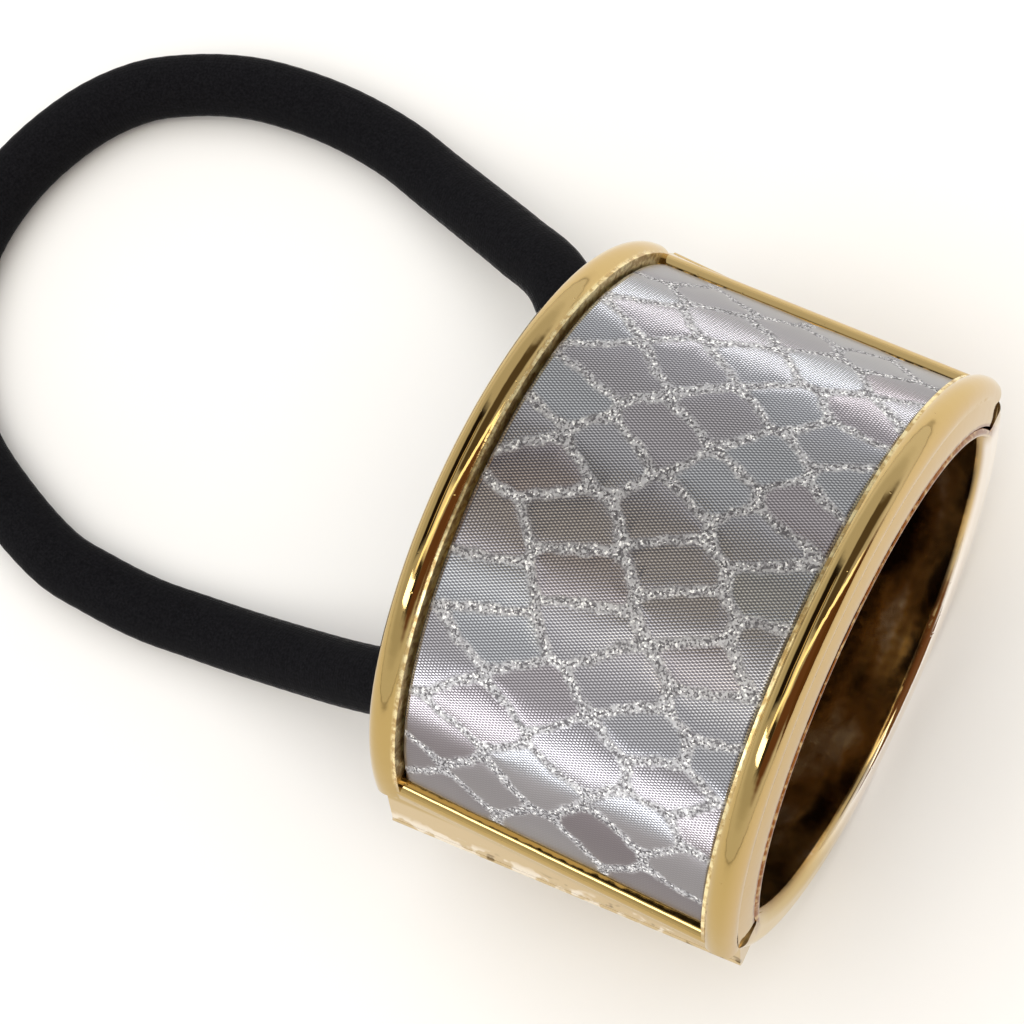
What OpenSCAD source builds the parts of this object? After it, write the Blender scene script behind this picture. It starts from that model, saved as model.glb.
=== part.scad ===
// Ponytail cuff: a cast gold ring with a silver scale panel on its front arch
// and a round elastic loop. It lies on its back, with the arch upward.
// X runs along the tube (the elastic leaves at -X), Y across it, Z up.

/* [Front arch] */
// Length of the ring along the tube, from lip to lip
ring_length = 28.1; // [27.6:0.1:28.6]
// Height of the arch's axis above the resting face
arch_axis_z = 13; // [12.8:0.1:13.2]
// Inner radius of the arch
arch_inner_r = 18.2; // [18:0.1:18.4]
// Radius of the floor of the panel's recess
floor_r = 20; // [19.8:0.1:20.2]
// Outer radius of the side walls below the bars
wall_r = 21.7; // [21.5:0.1:21.9]
// Thickness of the lip round the inner edge of the arch
lip_t = 0.7; // [0.5:0.1:1]

/* [Rims] */
// Radius of the half-round bead along each end of the arch
bead_r = 1.15; // [1.05:0.05:1.2]
// Where the beads lie, from the middle of the tube
bead_x = 12.55; // [12.45:0.05:12.6]
// Height of the bead's crest, as a radius from the arch's axis
crest_r = 22.1; // [22:0.1:22.4]
// Half angle at which the rims end
rim_half_angle = 77.5; // [77:0.1:78]

/* [End bars] */
// Radius of the round bar at each short end of the panel
bar_r = 1; // [0.8:0.05:1.1]
// Half angle at which the bars lie
bar_half_angle = 75.2; // [75:0.1:75.6]

/* [Feet] */
// Half width of the ring across its feet, at the elastic's end
foot_y = 22.6; // [22.4:0.1:22.7]
// Height of the foot's outermost line
foot_z = 13.6; // [13.4:0.1:13.8]
// How far each foot is turned inward toward the other end, in degrees
foot_turn = 3.2; // [3:0.1:3.4]

/* [Panel] */
// Thickness of the covered panel
panel_t = 1; // [0.8:0.05:1.1]
// Clearance round the panel
panel_gap = 0.1; // [0.05:0.05:0.2]

/* [Back band] */
// Inner radius of the back band
band_inner_r = 17.8; // [17.7:0.1:18]
// Thickness of the back band at its lowest line
band_t = 1.6; // [1.4:0.1:1.8]
// Outer radius of the back band
band_outer_r = 20.6; // [20.4:0.1:20.8]
// How much of the outer curve is flattened where it rests
flat_depth = 0.4; // [0.2:0.1:0.5]

/* [Elastic] */
// Diameter of the elastic cord
cord_d = 5; // [4.6:0.1:5]
// Radius of the clamp that joins the cord's ends
clamp_r = 2.9; // [2.8:0.1:3]
// Half angle that the clamp spans on the band's inner face
clamp_half_angle = 20; // [16:1:20]
// Where the clamp lies along the tube
clamp_x = -3; // [-4:0.5:-2]

/* [Hidden] */
$fn = 96;

// Longer than the whole ring, for cuts right through it
through = 60;
// How far one form runs into the next, and how little it may be proud of it
overlap = 0.8;
skin = 0.05;

bead_centre_r = crest_r - bead_r;
lip_r = arch_inner_r + lip_t;
lip_x = ring_length / 2;
// Depth of the fine seam between the lip and the end face
seam_line = 0.12;
// The recess is cut a skin under the beads, and as high as the rims
wall_x = bead_x - bead_r + skin;
recess_h = 5;

// The bars' axes, so that the bars stand a skin out of the side walls
bar_path_r = wall_r + skin - bar_r;
bar_length = 2 * (wall_x + overlap);

// Each rim's end face bulges as part of this circle, through its widest line
face_r = 6.5;
face_centre_r = lip_r + 0.1;
face_x = ring_length / 2 - 0.1;

// The ends of the rims are rounded to this radius, from this half angle, by
// what a block of this size cuts off outside the round
end_round_r = 1.5;
end_round_lift = 0.2;
end_round_angle = 73.6;
end_round_start = 0.3;
end_block = 4;

band_axis_z = band_t + band_inner_r;
band_outer_axis_z = band_outer_r - flat_depth;
band_edge_r = 0.8;
band_top_z = 17.6;

// Ends of the feet along the tube: one at the elastic, then each side's own
foot_start_x = -12.8;
foot_end_x = [13.5, 12.8];
foot_edge_r = 0.5;
foot_top = [21, arch_axis_z + floor_r * cos(bar_half_angle) - 0.2];
foot_root = [19.2, foot_z + 0.9];
foot_toe = [18.6, foot_z - 1.2];

// The panel is clear of the recess's floor, the beads and the bars
panel_inner_r = floor_r + 0.025;
panel_half_x = bead_x - bead_r - panel_gap;
panel_half_angle = bar_half_angle - (bar_r + panel_gap) / bar_path_r * 180 / PI;

seat_gap = 0.05;
clamp_path_r = band_inner_r - clamp_r - seat_gap;
cord_sides = 10;
cord_clear = 0.02;

gold = [0.86, 0.66, 0.30];
silver = [0.72, 0.72, 0.74];
black = [0.05, 0.05, 0.06];

// Hand-chosen route of the cord's centreline: out of the clamp, over the
// band's edge, round the loop on the surface and back to the clamp
route = [
    [-3.4, 8.1, 7], [-5.2, 10.7, 9], [-8.6, 11.8, 10.6], [-12.8, 12.3, 11.8],
    [-16.5, 14.3, 11.6], [-21.2, 18.4, 9.7], [-26, 20.3, 7.5], [-30.9, 22, 5.3],
    [-35.8, 23.6, 3.5], [-40.5, 25, 2.7], [-45.5, 25.7, 2.5], [-50.3, 25.7, 2.5],
    [-54.8, 25.1, 2.5], [-59.2, 23.6, 2.5], [-63.2, 21.3, 2.5], [-66.6, 17.4, 2.5],
    [-69.2, 11.7, 2.5], [-70.1, 5.5, 2.5], [-69, -0.5, 2.5], [-66, -6, 2.5],
    [-61.8, -10.2, 2.5], [-56.4, -13.2, 2.5], [-50.6, -15.4, 2.5], [-46.2, -15.9, 2.5],
    [-41.5, -16, 2.5], [-37, -15.6, 2.7], [-32.3, -15.2, 3.7], [-26.8, -14.7, 5.7],
    [-22.6, -14.3, 7.7], [-18.9, -13.8, 9.7], [-15.6, -13.1, 11.3], [-12.4, -12.5, 11.7],
    [-8.6, -11.9, 10.5], [-5.2, -10.6, 9], [-3.4, -8.1, 7]];

// Centre of a face of the clamp, on the side of +Y or -Y, moved off by a gap
function clamp_face(side, gap) =
    let (a = side * (clamp_half_angle + gap / clamp_path_r * 180 / PI))
    [clamp_x, clamp_path_r * sin(a), band_axis_z - clamp_path_r * cos(a)];
// Direction in which that face looks
function clamp_way(side) = [0, side * cos(clamp_half_angle), sin(clamp_half_angle)];

function unit(v) = v / norm(v);
// Direction of the path at point i, from its neighbours, fixed at both ends
function way(path, i, first, last) =
    i == 0 ? first : i == len(path) - 1 ? last : unit(path[i + 1] - path[i - 1]);
// A ring of n points of radius r round centre c, square to direction d
function ring(c, d, r, n) =
    let (upward = [0.02, 0, 1], u = unit(cross(d, upward)), v = cross(d, u))
    [for (k = [0 : n - 1]) c + r * (cos(360 * k / n) * u + sin(360 * k / n) * v)];

// A closed tube of radius r along a path, with flat ends
module tube(path, r, n, first, last) {
    count = len(path);
    points = [for (i = [0 : count - 1]) each ring(path[i], way(path, i, first, last), r, n)];
    sides = [for (i = [0 : count - 2], k = [0 : n - 1])
        let (k2 = (k + 1) % n)
        each [[i * n + k, i * n + k2, (i + 1) * n + k2], [i * n + k, (i + 1) * n + k2, (i + 1) * n + k]]];
    front = [for (k = [0 : n - 1]) n - 1 - k];
    back = [for (k = [0 : n - 1]) (count - 1) * n + k];
    polyhedron(points = points, faces = concat(sides, [front, back]));
}

// Turns a profile of radius and length about the tube's direction, from the
// top line through the half angle given, on both sides
module turned(half_angle) {
    rotate([0, -90, 0]) rotate([0, 0, -half_angle]) rotate_extrude(angle = 2 * half_angle) children();
}

// A plain cylinder along the tube
module along_x(r, length) {
    rotate([0, 90, 0]) cylinder(r = r, h = length, center = true);
}

// Half of the arch's profile: wall, rim with its bead, seam line and lip
module arch_half_profile() {
    seam_r = lip_r + seam_line;
    middle_r = arch_inner_r + lip_t / 2;
    translate([bead_centre_r, bead_x]) circle(r = bead_r);
    intersection() {
        translate([face_centre_r, face_x - face_r]) circle(r = face_r);
        translate([seam_r, wall_x]) square([bead_centre_r - seam_r, face_r]);
    }
    translate([middle_r, lip_x - lip_t / 2]) circle(r = lip_t / 2);
    translate([arch_inner_r, 0]) square([lip_t, lip_x - lip_t / 2]);
    translate([middle_r, 0]) square([wall_r - middle_r, wall_x + overlap]);
}

// The arch in one sweep, with the recess sunk into it and the bars laid in
module arch() {
    difference() {
        turned(rim_half_angle) {
            arch_half_profile();
            mirror([0, 1]) arch_half_profile();
        }
        turned(bar_half_angle) translate([floor_r, -wall_x]) square([recess_h, 2 * wall_x]);
        for (side = [-1, 1]) rim_end_cut(side);
    }
    for (side = [-1, 1])
        translate([0, side * bar_path_r * sin(bar_half_angle), bar_path_r * cos(bar_half_angle)])
            along_x(bar_r, bar_length);
}

// What is cut off to round the ends of both rims
module rim_end_cut(side) {
    block_y = side > 0 ? end_round_start : -end_round_start - end_block;
    rotate([-side * end_round_angle, 0, 0]) difference() {
        translate([-through / 2, block_y, wall_r + skin]) cube([through, end_block, end_block]);
        translate([0, 0, crest_r - end_round_r + end_round_lift]) along_x(end_round_r, 2 * through);
    }
}

// The side wall that goes on below a bar and flares outward, then turns back
// under itself to the band. It is turned inward toward its far end
module foot(side) {
    start = [foot_start_x, foot_top[0], 0];
    mirror([0, side > 0 ? 0 : 1, 0]) translate(start) rotate([0, 0, -foot_turn]) translate(-start)
        translate([foot_start_x, 0, 0]) rotate([90, 0, 90])
            linear_extrude(height = foot_end_x[side > 0 ? 1 : 0] - foot_start_x) {
                polygon([[foot_root[0], foot_top[1]], foot_top, [foot_y - skin, foot_z],
                    [foot_y - foot_edge_r, foot_z - foot_edge_r + skin], foot_toe, foot_root]);
                translate([foot_y - foot_edge_r, foot_z]) circle(r = foot_edge_r);
            }
}

// The plain band behind, thinnest where it rests, with round edges
module back_band() {
    intersection() {
        difference() {
            translate([0, 0, band_outer_axis_z]) rotate([0, 90, 0]) rotate_extrude()
                band_outer_profile();
            translate([0, 0, band_axis_z]) rotate([0, 90, 0]) rotate_extrude()
                band_hollow_profile();
        }
        translate([-through / 2, -through / 2, 0]) cube([through, through, band_top_z]);
    }
}

// Half section of the band's outer form, with rounded edges
module band_outer_profile() {
    half = ring_length / 2;
    translate([0, -half + band_edge_r]) square([band_outer_r, ring_length - 2 * band_edge_r]);
    translate([0, -half]) square([band_outer_r - band_edge_r, ring_length]);
    for (side = [-1, 1])
        translate([band_outer_r - band_edge_r, side * (half - band_edge_r)]) circle(r = band_edge_r);
}

// Half section of the band's hollow, flared at both ends to round its edges
module band_hollow_profile() {
    half = ring_length / 2;
    flare_r = band_inner_r + band_edge_r;
    difference() {
        translate([0, -half - overlap]) square([flare_r, ring_length + 2 * overlap]);
        for (side = [-1, 1]) translate([flare_r, side * (half - band_edge_r)]) circle(r = band_edge_r);
        translate([band_inner_r, -half + band_edge_r])
            square([2 * band_edge_r, ring_length - 2 * band_edge_r]);
    }
}

// The cast and plated ring: arch, rims, bars, feet and back band in one piece
module cuff() {
    color(gold) {
        translate([0, 0, arch_axis_z]) arch();
        for (side = [-1, 1]) foot(side);
        back_band();
    }
}

// The panel that lies in the recess
module panel() {
    color(silver) translate([0, 0, arch_axis_z]) turned(panel_half_angle)
        translate([panel_inner_r, -panel_half_x]) square([panel_t, 2 * panel_half_x]);
}

// The elastic cord, laid as a loop from the clamp's one face to its other
module elastic() {
    path = concat([clamp_face(1, cord_clear)], route, [clamp_face(-1, cord_clear)]);
    color(black) tube(path, cord_d / 2, cord_sides, clamp_way(1), -clamp_way(-1));
}

// The plain clamp on the band's inner face
module cord_clamp() {
    color(gold) translate([clamp_x, 0, band_axis_z]) rotate([180, 0, 0])
        turned(clamp_half_angle) translate([clamp_path_r, 0]) circle(r = clamp_r);
}

cuff();
panel();
elastic();
cord_clamp();
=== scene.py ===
import bpy
import numpy as np
from mathutils import Matrix


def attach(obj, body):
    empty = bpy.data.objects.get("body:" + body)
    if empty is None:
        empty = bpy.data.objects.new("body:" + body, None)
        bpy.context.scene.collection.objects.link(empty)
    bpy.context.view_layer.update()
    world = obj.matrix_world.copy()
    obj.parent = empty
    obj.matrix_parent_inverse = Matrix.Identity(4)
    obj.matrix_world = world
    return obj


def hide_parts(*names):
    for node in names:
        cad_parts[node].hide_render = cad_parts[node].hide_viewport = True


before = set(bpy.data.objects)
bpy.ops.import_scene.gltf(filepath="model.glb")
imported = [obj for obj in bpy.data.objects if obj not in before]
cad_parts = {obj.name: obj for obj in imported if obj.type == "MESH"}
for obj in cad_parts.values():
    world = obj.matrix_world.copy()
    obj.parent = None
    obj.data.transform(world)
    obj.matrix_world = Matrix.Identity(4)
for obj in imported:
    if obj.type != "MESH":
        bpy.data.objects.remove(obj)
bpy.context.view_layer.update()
scene = bpy.context.scene
mm = 0.001
print("stage: frame loaded")


# The camera of the photograph, in the part's frame. Its place is in mm.
cameraView = {
    "place": (47.28, -28.0, 200.82),
    "right": (0.8687, 0.4431, -0.2214),
    "up": (-0.3843, 0.8849, 0.2631),
    "back": (0.3125, -0.1434, 0.939),
    "lens": 98.9,
    "sensor": 36.0,
    "nearest": 10.0,  # mm from the camera at which it starts to see
}


def addCamera(v):
    # The camera's axes are the columns of its matrix, and its place is the last column.
    data = bpy.data.cameras.new("camera")
    data.lens = v["lens"]
    data.sensor_width = v["sensor"]
    data.clip_start = v["nearest"] * mm
    camera = bpy.data.objects.new("camera", data)
    columns = [v["right"], v["up"], v["back"], [c * mm for c in v["place"]]]
    camera.matrix_world = Matrix([[c[i] for c in columns] for i in range(3)] + [[0, 0, 0, 1]])
    scene.collection.objects.link(camera)
    scene.camera = camera


addCamera(cameraView)


def closedSurface(name, points, uv, values):
    # A mesh over a grid of points (rows, columns, 3) in mm. The grid closes across its columns, and
    # a fan of triangles round a middle point closes its first and its last row. uv is a grid with
    # one more column, and each grid in values becomes a point attribute.
    rows, columns = points.shape[:2]
    total = rows * columns
    k = np.arange(columns)
    near = (k + 1) % columns
    r, c = (grid.ravel() for grid in np.meshgrid(np.arange(rows - 1), k, indexing="ij"))
    here, below = r * columns, (r + 1) * columns
    quads = np.stack([here + c, here + near[c], below + near[c], below + c], 1)
    last = total - columns
    first = np.stack([near, k, np.full(columns, total)], 1)
    end = np.stack([last + k, last + near, np.full(columns, total + 1)], 1)
    places = np.concatenate([points.reshape(-1, 3), points[:1].mean(1), points[-1:].mean(1)])
    corners = np.concatenate([quads.ravel(), first.ravel(), end.ravel()])
    starts = np.concatenate([4 * np.arange(len(quads)), quads.size + 3 * np.arange(2 * columns)])
    cornerUv = [
        np.stack([uv[r, c], uv[r, c + 1], uv[r + 1, c + 1], uv[r + 1, c]], 1),
        np.stack([uv[0, k + 1], uv[0, k], uv[0, k]], 1),
        np.stack([uv[-1, k], uv[-1, k + 1], uv[-1, k]], 1),
    ]
    cornerUv = np.concatenate([part.reshape(-1, 2) for part in cornerUv])
    mesh = bpy.data.meshes.new(name)
    mesh.vertices.add(len(places))
    mesh.vertices.foreach_set("co", (places * mm).astype(np.float32).ravel())
    mesh.loops.add(len(corners))
    mesh.loops.foreach_set("vertex_index", corners.astype(np.int32))
    mesh.polygons.add(len(starts))
    mesh.polygons.foreach_set("loop_start", starts.astype(np.int32))
    mesh.update(calc_edges=True)
    mesh.uv_layers.new(name="uv").data.foreach_set("uv", cornerUv.astype(np.float32).ravel())
    for key, grid in values.items():
        flat = np.zeros(len(places), np.float32)
        flat[:total] = grid.ravel()
        mesh.attributes.new(key, "FLOAT", "POINT").data.foreach_set("value", flat)
    mesh.polygons.foreach_set("use_smooth", np.ones(len(starts), bool))
    mesh.validate()
    piece = bpy.data.objects.new(name, mesh)
    scene.collection.objects.link(piece)
    return piece


def smoothPath(points, spacing, stretch=40):
    # A Catmull-Rom curve through the points, worked out at so many places on each stretch between
    # two of them, and read again at equal steps of its length.
    p = np.array(points, float)
    p = np.concatenate([[2 * p[0] - p[1]], p, [2 * p[-1] - p[-2]]])
    a, b, c, d = (p[i : len(p) - 3 + i, None] for i in range(4))
    t = np.linspace(0, 1, stretch, endpoint=False)[None, :, None]
    square = (2 * a - 5 * b + 4 * c - d) * t**2
    cube = (3 * b - a - 3 * c + d) * t**3
    curve = 0.5 * (2 * b + (c - a) * t + square + cube)
    curve = np.concatenate([curve.reshape(-1, 3), p[-2][None]])
    along = np.concatenate([[0], np.cumsum(np.linalg.norm(np.diff(curve, axis=0), axis=1))])
    steps = np.linspace(0, along[-1], int(along[-1] / spacing) + 1)
    return np.stack([np.interp(steps, along, curve[:, i]) for i in range(3)], 1), steps


# The elastic's route in mm. Its first and last points are the two faces of the clamp.
elasticRoute = [
    (-3, 5.1, 5.46), (-3.4, 8.1, 7), (-5.2, 10.7, 9), (-8.6, 11.8, 10.6), (-12.8, 12.3, 11.8),
    (-16.5, 14.3, 11.6), (-21.2, 18.4, 9.7), (-26, 20.3, 7.5), (-30.9, 22, 5.3), (-35.8, 23.6, 3.5),
    (-40.5, 25, 2.7), (-45.5, 25.7, 2.5), (-50.3, 25.7, 2.5), (-54.8, 25.1, 2.5), (-59.2, 23.6, 2.5),
    (-63.2, 21.3, 2.5), (-66.6, 17.4, 2.5), (-69.2, 11.7, 2.5), (-70.1, 5.5, 2.5), (-69, -0.5, 2.5),
    (-66, -6, 2.5), (-61.8, -10.2, 2.5), (-56.4, -13.2, 2.5), (-50.6, -15.4, 2.5), (-46.2, -15.9, 2.5),
    (-41.5, -16, 2.5), (-37, -15.6, 2.7), (-32.3, -15.2, 3.7), (-26.8, -14.7, 5.7), (-22.6, -14.3, 7.7),
    (-18.9, -13.8, 9.7), (-15.6, -13.1, 11.3), (-12.4, -12.5, 11.7), (-8.6, -11.9, 10.5),
    (-5.2, -10.6, 9), (-3.4, -8.1, 7), (-3, -5.1, 5.46),
]
elasticLook = {
    "thickness": 5.0,  # lengths are in mm
    "spacing": 0.22,  # between two rings of the mesh
    "sides": 60,
    "ribs": 20,  # strands of the braid round the cord
    "lay": 2.6,  # length over which a strand moves on by one
    "relief": 0.03,
    "knit": (11, 9),  # the yarn's waves along and round the cord, in radians per mm
    "knitHeight": 0.3,  # beside the fuzz's, which is 1
    "fuzz": (5.0, 4.0, 0.7),  # scale, detail and roughness of its noise
    "fuzzEdge": (0.3, 0.75),
    "dark": (0.003, 0.003, 0.004),
    "light": (0.01, 0.01, 0.012),
    "gleam": (0.8, 0.8, 0.84),
    "bump": (0.06, 0.5),  # depth and strength
}


def makeElastic(route, v):
    # A tube whose radius carries a braid: the product of two waves that wind in opposite ways.
    path, steps = smoothPath(route, v["spacing"])
    along = np.gradient(path, axis=0)
    along /= np.linalg.norm(along, axis=1)[:, None]
    side = np.cross((0, 0, 1), along)
    side /= np.linalg.norm(side, axis=1)[:, None]
    over = np.cross(along, side)
    turn = np.linspace(0, 2 * np.pi, v["sides"], endpoint=False)
    winding = v["ribs"] * turn[None] / 2
    phase = 2 * np.pi * steps[:, None] / v["lay"]
    braid = np.cos(winding + phase) * np.cos(winding - phase)
    radius = v["thickness"] / 2 - v["relief"] * (1 - braid) / 2
    offset = side[:, None] * np.cos(turn)[None, :, None] + over[:, None] * np.sin(turn)[None, :, None]
    points = path[:, None] + offset * radius[..., None]
    around = np.append(turn, 2 * np.pi) * v["thickness"] / 2
    uv = np.stack(np.meshgrid(steps, around, indexing="ij"), 2)
    return closedSurface("elastic_cord", points, uv, {}), path, steps[-1]


elastic, elasticPath, elasticLength = makeElastic(elasticRoute, elasticLook)
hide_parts("elastic")
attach(elastic, "root")
print("stage: elastic made,", round(elasticLength, 1), "mm long")


class Wire:
    # One output of a node, so that maths with it is written as plain arithmetic.
    def __init__(self, nodes, socket):
        self.nodes = nodes
        self.socket = socket

    def maths(self, operation, *others):
        return self.nodes.make("ShaderNodeMath", {"operation": operation}, dict(enumerate([self, *others])))

    def __add__(self, other):
        return self.maths("ADD", other)

    def __sub__(self, other):
        return self.maths("SUBTRACT", other)

    def __rsub__(self, other):
        return (self * -1) + other

    def __mul__(self, other):
        return self.maths("MULTIPLY", other)

    def __pow__(self, other):
        return self.maths("POWER", other)

    def __abs__(self):
        return self.maths("ABSOLUTE")

    __radd__ = __add__
    __rmul__ = __mul__

    def cos(self):
        return self.maths("COSINE")

    def step(self, low, high):
        # Rises smoothly from 0 at low to 1 at high, and falls instead where low is above high.
        return self.nodes.make(
            "ShaderNodeMapRange",
            {"interpolation_type": "SMOOTHSTEP"},
            {"Value": self, "From Min": low, "From Max": high},
        )


class Nodes:
    # A node tree with short ways to add nodes to it. Plain inputs go to its main shader.
    def __init__(self, tree, shader):
        self.tree = tree
        self.shader = tree.nodes[shader]

    def set(self, values, node=None):
        node = node or self.shader
        for key, value in values.items():
            socket = node.inputs[key]
            if isinstance(value, Wire):
                self.tree.links.new(value.socket, socket)
            elif isinstance(value, tuple) and socket.type == "RGBA":
                socket.default_value = (*value, 1)
            else:
                socket.default_value = value

    def make(self, kind, settings, inputs, output=0):
        node = self.tree.nodes.new(kind)
        for key, value in settings.items():
            setattr(node, key, value)
        self.set(inputs, node)
        return Wire(self, node.outputs[output])

    def mix(self, amount, first, second):
        inputs = {0: amount, 6: first, 7: second}
        return self.make("ShaderNodeMix", {"data_type": "RGBA"}, inputs, output=2)

    def noise(self, place, scale, detail, roughness):
        inputs = {"Vector": place, "Scale": scale, "Detail": detail, "Roughness": roughness}
        return self.make("ShaderNodeTexNoise", {}, inputs)

    def cells(self, place, scale, output):
        return self.make("ShaderNodeTexVoronoi", {}, {"Vector": place, "Scale": scale}, output)

    def split(self, vector):
        node = self.make("ShaderNodeSeparateXYZ", {}, {0: vector}).socket.node
        return [Wire(self, output) for output in node.outputs]

    def bump(self, height, depth, strength):
        # depth is in mm.
        inputs = {"Height": height, "Distance": depth * mm, "Strength": strength}
        return self.make("ShaderNodeBump", {}, inputs)

    def attribute(self, name):
        return self.make("ShaderNodeAttribute", {"attribute_name": name}, {}, "Fac")

    def flatPlace(self):
        # The piece's own UV map, which is in mm.
        return self.make("ShaderNodeUVMap", {"uv_map": "uv"}, {})

    def place(self):
        # Object coordinates in mm.
        where = self.make("ShaderNodeTexCoord", {}, {}, "Object")
        return self.make("ShaderNodeVectorMath", {"operation": "SCALE"}, {0: where, "Scale": 1 / mm})


class Finish(Nodes):
    # A material with one Principled shader.
    def __init__(self, name, **constants):
        self.material = bpy.data.materials.new(name)
        self.material.use_nodes = True
        super().__init__(self.material.node_tree, "Principled BSDF")
        self.set({key.replace("_", " "): value for key, value in constants.items()})


def elasticFinish(v):
    # The yarn's bump is a product of two crossing waves. A noise is its fuzz, which also varies the
    # black, and the sheen of loose fibres comes from the shader.
    black = Finish("black elastic", Roughness=0.9, Sheen_Weight=0.35, Sheen_Roughness=0.16)
    black.set({"Sheen Tint": v["gleam"], "Specular IOR Level": 0.1})
    along, across, _ = black.split(black.flatPlace())
    lengthwise = along * v["knit"][0]
    crosswise = across * v["knit"][1]
    knit = (lengthwise + crosswise).cos() * (lengthwise - crosswise).cos()
    fuzz = black.noise(black.place(), *v["fuzz"])
    black.set({"Base Color": black.mix(fuzz.step(*v["fuzzEdge"]), v["dark"], v["light"])})
    black.set({"Normal": black.bump(knit * v["knitHeight"] + fuzz, *v["bump"])})
    return black.material


elastic.data.materials.append(elasticFinish(elasticLook))


# The panel, in mm: x along the ring's axis and arc round it, from the middle of the front arch.
panelShape = {
    "axisZ": 13.0,
    "top": 21.025,  # radius of the cloth's outer face
    "floor": 20.03,  # radius of the panel's underside
    "halfWidth": 11.32,
    "halfArc": 26.48,
    "edge": 0.35,  # radius of the cloth's fold over the edges
    "foldSteps": 4,
    "inset": 0.02,  # of the underside within the edges
    "step": 0.13,  # between two points of the mesh
    "scaleRise": 0.05,
    "domeReach": 0.4,  # distance over which a scale rises from the line beside it
    "domeStart": 0.6,  # where it starts to rise, as a share of the line's half width
    "tilt": 0.012,  # most slope of a scale
    "squeeze": 0.75,
    "line": 0.29,  # half the width of a glitter line between two scales
    "lineEdge": 0.05,
    "knot": 1.3,  # how much wider a line grows where three scales meet
    "knotReach": 0.7,
    # Waves that make the lines uneven: height, radians per mm along x and along arc, and start.
    "waverX": [(0.1, 1.3, 0.9, 0), (0.06, -2.7, 3.1, 1)],
    "waverArc": [(0.1, -1.4, 1.1, 2), (0.06, 3.3, 2.6, 0)],
    "toneSeed": 4,
    "tiltSeed": 6,
}

# The middle of each scale, laid out one by one.
scaleCentres = [
    (-9.8, 18.2), (-2.9, 17.8), (4.6, 17), (9.2, 18.7), (11.3, 16.3), (-7.4, 15.3), (0.6, 14.7),
    (8.4, 14.1), (-10.1, 12.6), (-3.2, 12.1), (4.2, 12.2), (-6.9, 9.8), (1, 9.3), (7.9, 10.3),
    (-9, 5.9), (-1.9, 5.9), (4.9, 7.4), (10.4, 7.6), (8.3, 5), (-10.6, 3.3), (-4.3, 3.6), (2.8, 4.1),
    (6.8, 2.1), (-7.6, 1.1), (0.8, 1.2), (-4.7, -1.6), (3.1, -1.5), (9.3, -0.7), (-9.4, -4.2),
    (-2.5, -4.6), (5.1, -3.9), (10.6, -4.4), (-8.1, -7.2), (-0.9, -7.5), (7.3, -6.4), (-6.2, -10.2),
    (2.3, -9.6), (8.9, -9.3), (-10, -13.4), (-2.9, -12.9), (5.2, -12.2), (10.4, -12), (-6.3, -15.8),
    (1.3, -15.7), (7.5, -14.9), (10.9, -16.8), (-8.9, -19.6), (-1.6, -19.5), (6.3, -18.9),
    (-11.2, -22.5), (-4.9, -22), (3.6, -22), (9.9, -21.3), (-8, -24.7), (-0.2, -24.8), (8.2, -25.2),
    (-5.6, 21.4), (0.9, 20.6), (6.6, 21.5), (-9.8, 22.6), (-2.6, 23.9), (3.5, 24), (9.7, 23.6),
]
scaleMiddles = np.array(scaleCentres, float)


def waver(x, arc, waves):
    # The sum of sine waves that run across the panel in different directions.
    return sum(high * np.sin(turnX * x + turnArc * arc + start) for high, turnX, turnArc, start in waves)


def scaleNet(x, arc, v):
    # How far each point lies from the nearest border between two scales: half the difference of the
    # squared distances to the two nearest middles, over the distance between those middles. Also how
    # near a third middle is, which marks the junctions, and a number for the scale itself. Lengths
    # along x count for less, because the scales are wider than they are long.
    middles = scaleMiddles * (v["squeeze"], 1)
    awayX = ((x + waver(x, arc, v["waverX"])) * v["squeeze"])[..., None] - middles[:, 0]
    awayArc = (arc + waver(x, arc, v["waverArc"]))[..., None] - middles[:, 1]
    squared = awayX**2 + awayArc**2
    order = np.argsort(squared, axis=-1)[..., :3]
    near = np.take_along_axis(squared, order, -1)
    apart = np.linalg.norm(middles[order[..., 0]] - middles[order[..., 1]], axis=-1)
    border = (near[..., 1] - near[..., 0]) / (2 * apart)
    spare = np.sqrt(near[..., 2]) - np.sqrt(near[..., 0])
    return border, np.exp(-((spare / v["knotReach"]) ** 2)), order[..., 0]


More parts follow.
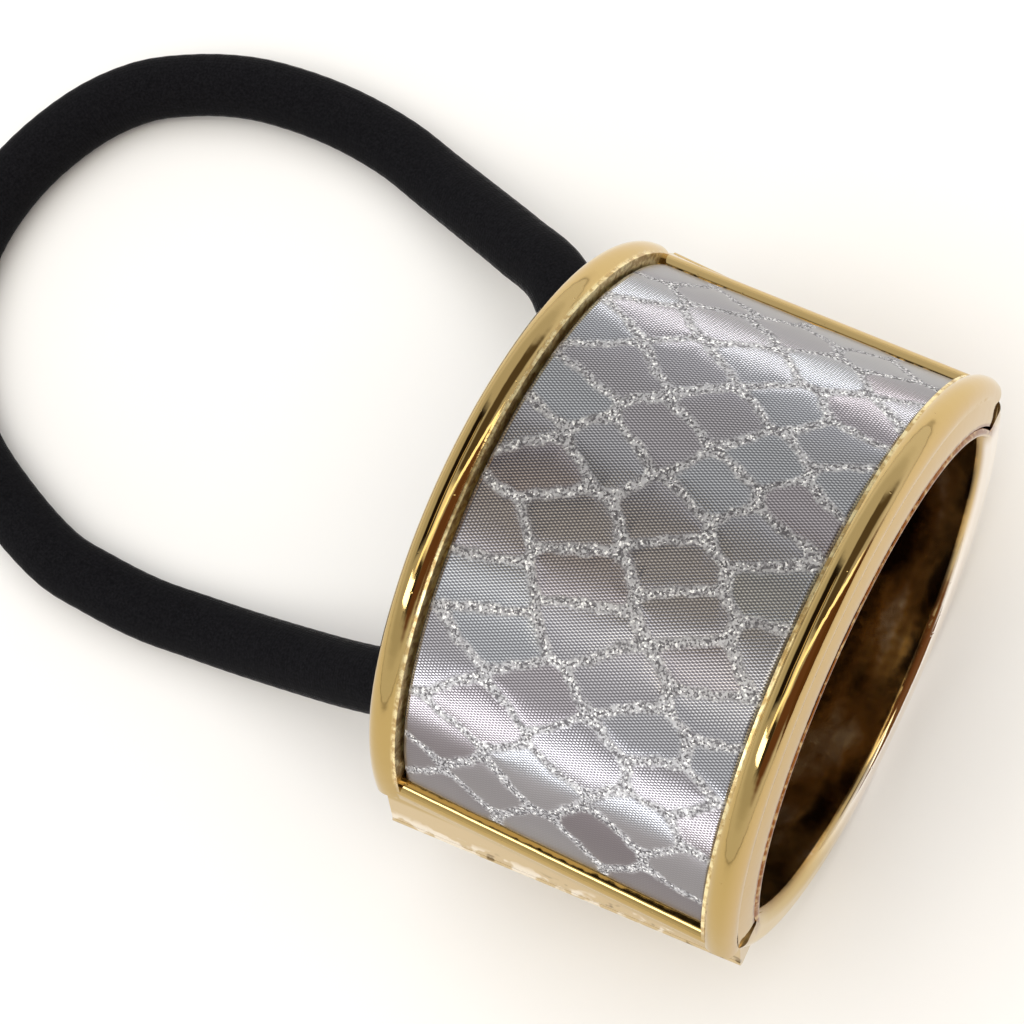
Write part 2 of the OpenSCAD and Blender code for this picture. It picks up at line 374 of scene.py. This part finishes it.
def makePanel(v):
    # A closed curved plate. Its cross-section runs over the top, round the folded edge and back
    # underneath, and it is swept through the arc, with the same fold at both ends.
    thick = v["top"] - v["floor"]
    fold = np.linspace(0, np.pi / 2, v["foldSteps"] + 1)[1:]
    foldOut = v["edge"] * np.sin(fold)
    foldDrop = v["edge"] * (1 - np.cos(fold))
    flat = v["halfWidth"] - v["edge"]
    top = np.linspace(-flat, flat, int(2 * flat / v["step"]) + 1)
    under = v["halfWidth"] - v["inset"]
    x = np.concatenate([top, flat + foldOut, [under, 0, -under], -flat - foldOut[::-1]])
    drop = np.concatenate([0 * top, foldDrop, [thick] * 3, foldDrop[::-1]])
    middle = v["halfArc"] - v["edge"]
    run = np.linspace(-middle, middle, int(2 * middle / v["step"]) + 1)
    arc = np.concatenate([-middle - foldOut[::-1], run, middle + foldOut])
    endDrop = np.concatenate([foldDrop[::-1], 0 * run, foldDrop])
    onTop = (drop < thick)[None] * 1.0
    gridX, gridArc = np.broadcast_arrays(x[None], arc[:, None])
    border, junction, scale = scaleNet(gridX, gridArc, v)
    tone = np.random.default_rng(v["toneSeed"]).uniform(0, 1, len(scaleMiddles))[scale]
    # The glitter line is 1 within its half width of a border, and falls to 0 outside.
    line = v["line"] * (1 + v["knot"] * junction)
    net = 1 / (1 + np.exp((border - line) / v["lineEdge"]))
    # Each scale is a low dome with a slight tilt of its own.
    random = np.random.default_rng(v["tiltSeed"])
    tilt = random.uniform(-v["tilt"], v["tilt"], (2, len(scaleMiddles)))[:, scale]
    middles = scaleMiddles[scale]
    slope = tilt[0] * (gridX - middles[..., 0]) + tilt[1] * (gridArc - middles[..., 1])
    dome = 1 - np.exp(-np.maximum(border - v["domeStart"] * line, 0) / v["domeReach"])
    rise = (v["scaleRise"] + slope) * dome
    sunk = np.minimum(drop[None] + endDrop[:, None], thick)
    radius = v["top"] - sunk + (rise - v["scaleRise"]) * onTop
    turn = gridArc / v["top"]
    points = np.stack([gridX, radius * np.sin(turn), v["axisZ"] + radius * np.cos(turn)], 2)
    uv = np.stack(np.broadcast_arrays(np.append(x, x[0])[None], arc[:, None]), 2)
    return closedSurface("panel_cloth", points, uv, {"net": net * onTop, "tone": tone * onTop})


panel = makePanel(panelShape)
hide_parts("panel")
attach(panel, "root")
print("stage: panel made,", len(panel.data.polygons), "faces")

# Lengths are in mm. A pair of colours is for the warmest and the coolest scale, unless a note says
# otherwise, and a pair of numbers named as an edge is where that edge starts and ends.
clothLook = {
    "columns": 0.226,  # between two columns of the weave's dots
    "dots": 0.22,  # between two dots of a column
    "dotEdge": (0.25, 0.95),
    "dark": ((0.15, 0.131, 0.146), (0.15, 0.157, 0.177)),  # between the dots
    "pale": ((0.51, 0.475, 0.505), (0.575, 0.595, 0.63)),  # on the dots
    "endEdge": (18, 19.8),  # along the arc: past it the weave lies flat and rougher, and the colour turns to painted shade
    "endShare": 0.85,
    "slopeEdge": (-15, 15),
    "paintedShading": ((0.13, 0.112, 0.12), (0.24, 0.235, 0.25)),  # painted shade of the ends: darker at the near end, paler at the far end
    "silver": (0.5, 0.5, 0.5),  # what the coolest scales of the painted end shade turn to
    "silverShare": 0.25,
    "flakes": 8.0,  # flakes of glitter in a mm
    "flakeEdge": (0.1, 0.9),
    "glitter": ((0.12, 0.115, 0.125), (0.55, 0.55, 0.57)),  # its darkest and its palest flakes
    "sparkEdge": (0.86, 0.93),
    "spark": (0.95, 0.95, 0.95),
    "patches": (0.35, 3.0, 0.5),  # scale, detail and roughness of the noise that dulls the cloth
    "metallic": 0.85,
    "netMetallic": 0.12,  # how much less the glitter has
    "roughness": 0.14,
    "netRoughness": 0.3,  # what each adds
    "flakeRoughness": 0.2,
    "endRoughness": 0.15,
    "patchRoughness": 0.05,
    "weaveHeight": 0.2,
    "flakeHeight": 1.2,
    "bump": (0.05, 0.8),  # depth and strength
}


def clothFinish(v):
    # Scales of woven dots, the product of a wave along x and one along the arc, in which each column
    # lies half a step on from the one beside it. The net over them is of small flakes of glitter.
    cloth = Finish("silver cloth")
    uv = cloth.flatPlace()
    x, arc, _ = cloth.split(uv)
    net = cloth.attribute("net")
    tone = cloth.attribute("tone")
    weave = (x * (np.pi / v["columns"])).cos() * (arc * (2 * np.pi / v["dots"])).cos() * 0.5 + 0.5
    scales = cloth.mix(weave.step(*v["dotEdge"]), cloth.mix(tone, *v["dark"]), cloth.mix(tone, *v["pale"]))
    # Toward both ends of the arc the colour is painted: a darker painted shade at the near end, a paler
    # painted reflection at the far end.
    ends = abs(arc).step(*v["endEdge"])
    paintedShading = cloth.mix(arc.step(*v["slopeEdge"]), *v["paintedShading"])
    paintedShading = cloth.mix(tone * v["silverShare"], paintedShading, v["silver"])
    scales = cloth.mix(ends * v["endShare"], scales, paintedShading)
    grain, shine, _ = cloth.split(cloth.cells(uv, v["flakes"], "Color"))
    glitter = cloth.mix(grain.step(*v["flakeEdge"]), *v["glitter"])
    glitter = cloth.mix(shine.step(*v["sparkEdge"]), glitter, v["spark"])
    cloth.set({"Base Color": cloth.mix(net, scales, glitter)})
    cloth.set({"Metallic": v["metallic"] - net * v["netMetallic"]})
    rough = net * (shine * v["flakeRoughness"] + v["netRoughness"]) + ends * v["endRoughness"]
    patch = cloth.noise(uv, *v["patches"])
    cloth.set({"Roughness": v["roughness"] + rough + patch * v["patchRoughness"]})
    woven = weave * (1 - net) * (1 - ends) * v["weaveHeight"]
    cloth.set({"Normal": cloth.bump(woven + grain * net * v["flakeHeight"], *v["bump"])})
    return cloth.material


panel.data.materials.append(clothFinish(clothLook))

# Places and lengths are in mm. A pair of numbers is where a soft edge starts and ends, and a pair
# of colours is what a mask blends between.
goldLook = {
    # side: painted shade, the plating darker toward -Y and paler toward +Y.
    "side": {"y": (-22, 20), "colours": ((0.49, 0.345, 0.13), (0.61, 0.44, 0.19))},
    "endFace": {"x": (12.8, 14), "share": 0.8, "colour": (0.59, 0.42, 0.21)},
    # A thin copper line round the face at the end of the arch, just outside its inner edge.
    "copperLine": {
        "axisZ": 13,
        "x": (13.2, 13.5),
        "z": (8, 10),
        "inner": (18.4, 18.55),
        "outer": (19.3, 19.1),
        "wear": (0.3, 0.55),  # of the fine noise, which breaks the line up
        "colour": (0.24, 0.08, 0.016),
    },
    # The foot of the lower bar is paler, with pale painted glints and dark blotches along its outer edge.
    "foot": {"lean": 0.056, "out": (20.2, 20.8), "z": (16.9, 16.5), "colour": (0.6, 0.46, 0.26)},
    "blotsAndGlints": {
        "out": (21.25, 21.6),
        "noise": (0.6, 2.0, 0.6),
        "share": 0.8,
        "pale": (0.5, 0.58),
        "highlightColour": (0.9, 0.82, 0.7),
        "dark": (0.4, 0.34),
        "darkColour": (0.14, 0.08, 0.02),
    },
    # The edge of the back band, painted pale as a painted reflection, turning golden toward -Y.
    "bandEdge": {
        "x": (13.5, 13.9),
        "z": (18, 15),
        "y": (-5, -14),
        "colours": ((0.95, 0.89, 0.82), (0.7, 0.54, 0.27)),
    },
    # The dull seat beside the cloth, its colour painted pale: painted light against the shade of its
    # recess.
    "seat": {
        "x": (11.8, 11.6),
        "radius": (18.9, 19.2),
        "z": (19.5, 20.5),
        "grain": (0.4, 0.6),
        "colours": ((0.6, 0.42, 0.18), (1.0, 0.86, 0.5)),
    },
    # The inside of the ring: it faces the middle, lies within its radius and between its two ends. Its
    # colour is painted shade, with amber and pale blotches of painted reflection.
    "inside": {
        "middleZ": 15,
        "facing": (-1, -5),
        "axisZ": 14,
        "radius": (18.7, 18.4),
        "x": (13.6, 13.2),
        "grain": 0.2,  # share of the fine noise in the blotches
        "amber": (0.45, 0.72),
        "colours": ((0.035, 0.02, 0.01), (0.5, 0.29, 0.09)),
        "pale": (0.66, 0.84),
        "highlightColour": (0.95, 0.88, 0.74),
    },
    "wide": (0.22, 3.0, 0.6),  # scale, detail and roughness of each noise
    "fine": (1.6, 3.0, 0.6),
    "blots": (0.3, 2.0, 0.5),
    "blotStretch": (1, 0.4, 0.4),
    "pits": 1.1,  # pits in a mm, about
    "pitEdge": (0.1, 0.02),
    "roughness": {"plain": 0.035, "wide": 0.05, "inside": 0.2, "seat": 0.3},
    "height": {"wide": 1.5, "fine": 0.06, "seat": 2, "inside": 8, "pits": 0.3},
    "bump": (0.05, 0.6),  # depth and strength
}


def goldFinish(v):
    # One warm colour that grows paler along Y: a painted shade, darker toward -Y. Each zone lays its own
    # colour over it through a mask, a product of soft steps of the place, and the same masks feed the
    # roughness and the bump.
    gold = Finish("gold plate", Metallic=1.0)
    place = gold.place()
    x, y, z = gold.split(place)
    _, facingY, facingZ = gold.split(gold.make("ShaderNodeNewGeometry", {}, {}, "Normal"))
    wide = gold.noise(place, *v["wide"])
    fine = gold.noise(place, *v["fine"])
    stretched = {0: place, 1: v["blotStretch"]}
    blot = gold.noise(gold.make("ShaderNodeVectorMath", {"operation": "MULTIPLY"}, stretched), *v["blots"])

    def fromAxis(height):
        # The distance from a line along X at this height.
        return (y * y + (z - height) * (z - height)) ** 0.5

    colour = gold.mix(y.step(*v["side"]["y"]), *v["side"]["colours"])
    zone = v["endFace"]
    colour = gold.mix(x.step(*zone["x"]) * zone["share"], colour, zone["colour"])

    zone = v["copperLine"]
    reach = fromAxis(zone["axisZ"])
    line = x.step(*zone["x"]) * z.step(*zone["z"]) * reach.step(*zone["outer"]) * reach.step(*zone["inner"])
    colour = gold.mix(line * fine.step(*zone["wear"]), colour, zone["colour"])

    zone = v["foot"]
    out = x * zone["lean"] - y
    foot = out.step(*zone["out"]) * z.step(*zone["z"])
    colour = gold.mix(foot, colour, zone["colour"])
    # Pale blotches along the foot's outer edge are painted glints; the dark ones are dark blotches.
    zone = v["blotsAndGlints"]
    blotGlintMask = foot * out.step(*zone["out"]) * zone["share"]
    blotGlintNoise = gold.noise(place, *zone["noise"])
    colour = gold.mix(blotGlintMask * blotGlintNoise.step(*zone["pale"]), colour, zone["highlightColour"])
    colour = gold.mix(blotGlintMask * blotGlintNoise.step(*zone["dark"]), colour, zone["darkColour"])

    # Painted reflection: the band's edge is painted pale, turning golden toward -Y.
    zone = v["bandEdge"]
    edge = gold.mix(y.step(*zone["y"]), *zone["colours"])
    colour = gold.mix(x.step(*zone["x"]) * z.step(*zone["z"]), colour, edge)

    radius = fromAxis(v["inside"]["axisZ"])
    # Painted light: the seat's colour is paler than the plating, against the shade of its recess.
    zone = v["seat"]
    seat = abs(x).step(*zone["x"]) * radius.step(*zone["radius"]) * z.step(*zone["z"])
    colour = gold.mix(seat, colour, gold.mix(fine.step(*zone["grain"]), *zone["colours"]))

    # Painted shade inside the ring, with amber and pale blotches of painted reflection.
    zone = v["inside"]
    inside = (y * facingY + (z - zone["middleZ"]) * facingZ).step(*zone["facing"])
    inside = inside * radius.step(*zone["radius"]) * abs(x).step(*zone["x"])
    blotches = blot + fine * zone["grain"]
    paintedShading = gold.mix(blotches.step(*zone["amber"]), *zone["colours"])
    paintedShading = gold.mix(blotches.step(*zone["pale"]), paintedShading, zone["highlightColour"])
    gold.set({"Base Color": gold.mix(inside, colour, paintedShading)})

    rough = v["roughness"]
    dullness = wide * rough["wide"] + inside * rough["inside"] + seat * rough["seat"]
    gold.set({"Roughness": dullness + rough["plain"]})
    tall = v["height"]
    height = wide * tall["wide"] + fine * (seat * tall["seat"] + tall["fine"])
    pits = gold.cells(place, v["pits"], "Distance").step(*v["pitEdge"])
    height = height + blot * inside * tall["inside"] - pits * tall["pits"]
    gold.set({"Normal": gold.bump(height, *v["bump"])})
    return gold.material


plate = goldFinish(goldLook)
for name in ("cuff", "cord_clamp"):
    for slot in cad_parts[name].material_slots:
        slot.material = plate
print("stage: materials made")


# The floor, the lamps and the room round them, in metres.
room = {
    "floor": 6.0,
    "floorColour": (0.9, 0.9, 0.9),
    # A lamp of the kind "floor" reaches all but shows in no metal, and one of the kind "cloth" or
    # "gold" reaches the cloth or the ring alone. The rest is its place, its size, its tilt about X
    # in degrees, where 0 shines down and 180 up, and its power.
    "lamps": [
        ("softbox", "floor", (-0.05, 0, 0.7), (1.2, 1.2), 0, 6.6),
        ("low_light", "cloth", (-0.1, 0.19, 0.002), (0.9, 0.12), 180, 1.5),
        ("front_light", "cloth", (-0.15, -0.48, 0.065), (0.9, 0.09), 90, 1.15),
        ("bar_light", "gold", (-0.1, -0.29, 0.31), (0.25, 0.08), 45, 0.34),
        ("fill", "cloth", (-0.3, -0.45, 0.8), (0.5, 0.3), 30, 0.42),
        ("front_fill", "cloth", (-0.25, -0.5, 0.36), (0.9, 0.26), 58, 0.2),
        ("top_light", "cloth", (-0.25, 0.2, 0.8), (1.0, 0.9), 0, 0.3),
    ],
    "background": (0.92, 0.92, 0.92),
    "ceiling": (0.7, 0.69, 0.66),
    "ceilingEdge": (0.42, 0.16),  # of the direction's Z
    # A strip of the room is a dark or bright thing overhead that shows as a streak in the gold: the
    # X of its direction where Y is 0, how X changes with Y, its half width, the least and most Y of
    # its direction, and its colour.
    "strips": [
        (0.32, 0, 0.38, -0.02, 0.8, (0.13, 0.1, 0.065)),
        (0.14, 0, 0.25, -0.6, -0.1, (1.7, 1.6, 1.35)),
        (-0.42, 0, 0.33, -0.45, 0.4, (0.02, 0.013, 0.008)),
        (-0.27, 0.1, 0.05, -0.4, 0.3, (0.9, 0.75, 0.5)),
        (0.95, 0.5, 0.42, -0.8, 0.25, (0.2, 0.09, 0.045)),
        (0.3, 0.25, 0.2, -0.8, -0.5, (0.06, 0.045, 0.03)),
        (0.48, 1.05, 0.1, -0.6, 0.45, (2.6, 2.4, 1.9)),
    ],
    "solid": 0.7,  # share of a strip's half width before it starts to fade
    "fade": 0.06,  # half the fade at its two ends
    "waver": (2.5, 1.0, 0.5),  # scale, detail and roughness of the noise that bends the strips
    "bend": 0.15,
    # One dark copper thing stands low toward +X.
    "copper": {"x": (0.84, 0.92), "y": (-0.4, -0.3), "colour": (0.16, 0.07, 0.025)},
}


def makeFloor(v):
    # A flat square with its middle at the origin.
    half = v["floor"] / 2
    corners = [(-half, -half, 0), (half, -half, 0), (half, half, 0), (-half, half, 0)]
    mesh = bpy.data.meshes.new("floor")
    mesh.from_pydata(corners, [], [(0, 1, 2, 3)])
    plane = bpy.data.objects.new("floor", mesh)
    scene.collection.objects.link(plane)
    paint = Finish("floor", Roughness=0.9)
    paint.set({"Base Color": v["floorColour"], "Specular IOR Level": 0.1})
    mesh.materials.append(paint.material)


def addLamps(v):
    # Area lamps. Those for one piece are linked to a collection that holds it alone.
    lit = {}
    for kind, piece in (("cloth", panel), ("gold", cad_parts["cuff"])):
        lit[kind] = bpy.data.collections.new("lit " + kind)
        lit[kind].objects.link(piece)
    for name, kind, place, size, turn, power in v["lamps"]:
        data = bpy.data.lights.new(name, "AREA")
        data.shape = "RECTANGLE"
        data.size, data.size_y = size
        data.energy = power
        light = bpy.data.objects.new(name, data)
        light.location = place
        light.rotation_euler = (np.radians(turn), 0, 0)
        light.visible_camera = False
        light.visible_glossy = kind in lit
        if kind in lit:
            light.light_linking.receiver_collection = lit[kind]
        scene.collection.objects.link(light)


def paintRoom(v):
    # The colour of the light from each direction: the strips lie over the ceiling, which fades into
    # the background toward the horizon, and the copper thing stands before both.
    world = bpy.data.worlds.new("room")
    scene.world = world
    world.use_nodes = True
    air = Nodes(world.node_tree, "Background")
    where = air.make("ShaderNodeTexCoord", {}, {}, "Generated")
    x, y, z = air.split(where)
    x = x + (air.noise(where, *v["waver"]) - 0.5) * v["bend"]
    fade = v["fade"]
    colour = v["ceiling"]
    for middle, slope, half, low, high, paint in v["strips"]:
        across = abs(x - y * slope - middle).step(half, half * v["solid"])
        along = y.step(low - fade, low + fade) * y.step(high + fade, high - fade)
        colour = air.mix(across * along, colour, paint)
    colour = air.mix(z.step(*v["ceilingEdge"]), colour, v["background"])
    copper = v["copper"]
    colour = air.mix(x.step(*copper["x"]) * y.step(*copper["y"]), colour, copper["colour"])
    air.set({"Color": colour})
    scene.view_settings.view_transform = "Standard"


makeFloor(room)
addLamps(room)
paintRoom(room)
print("stage: room made")
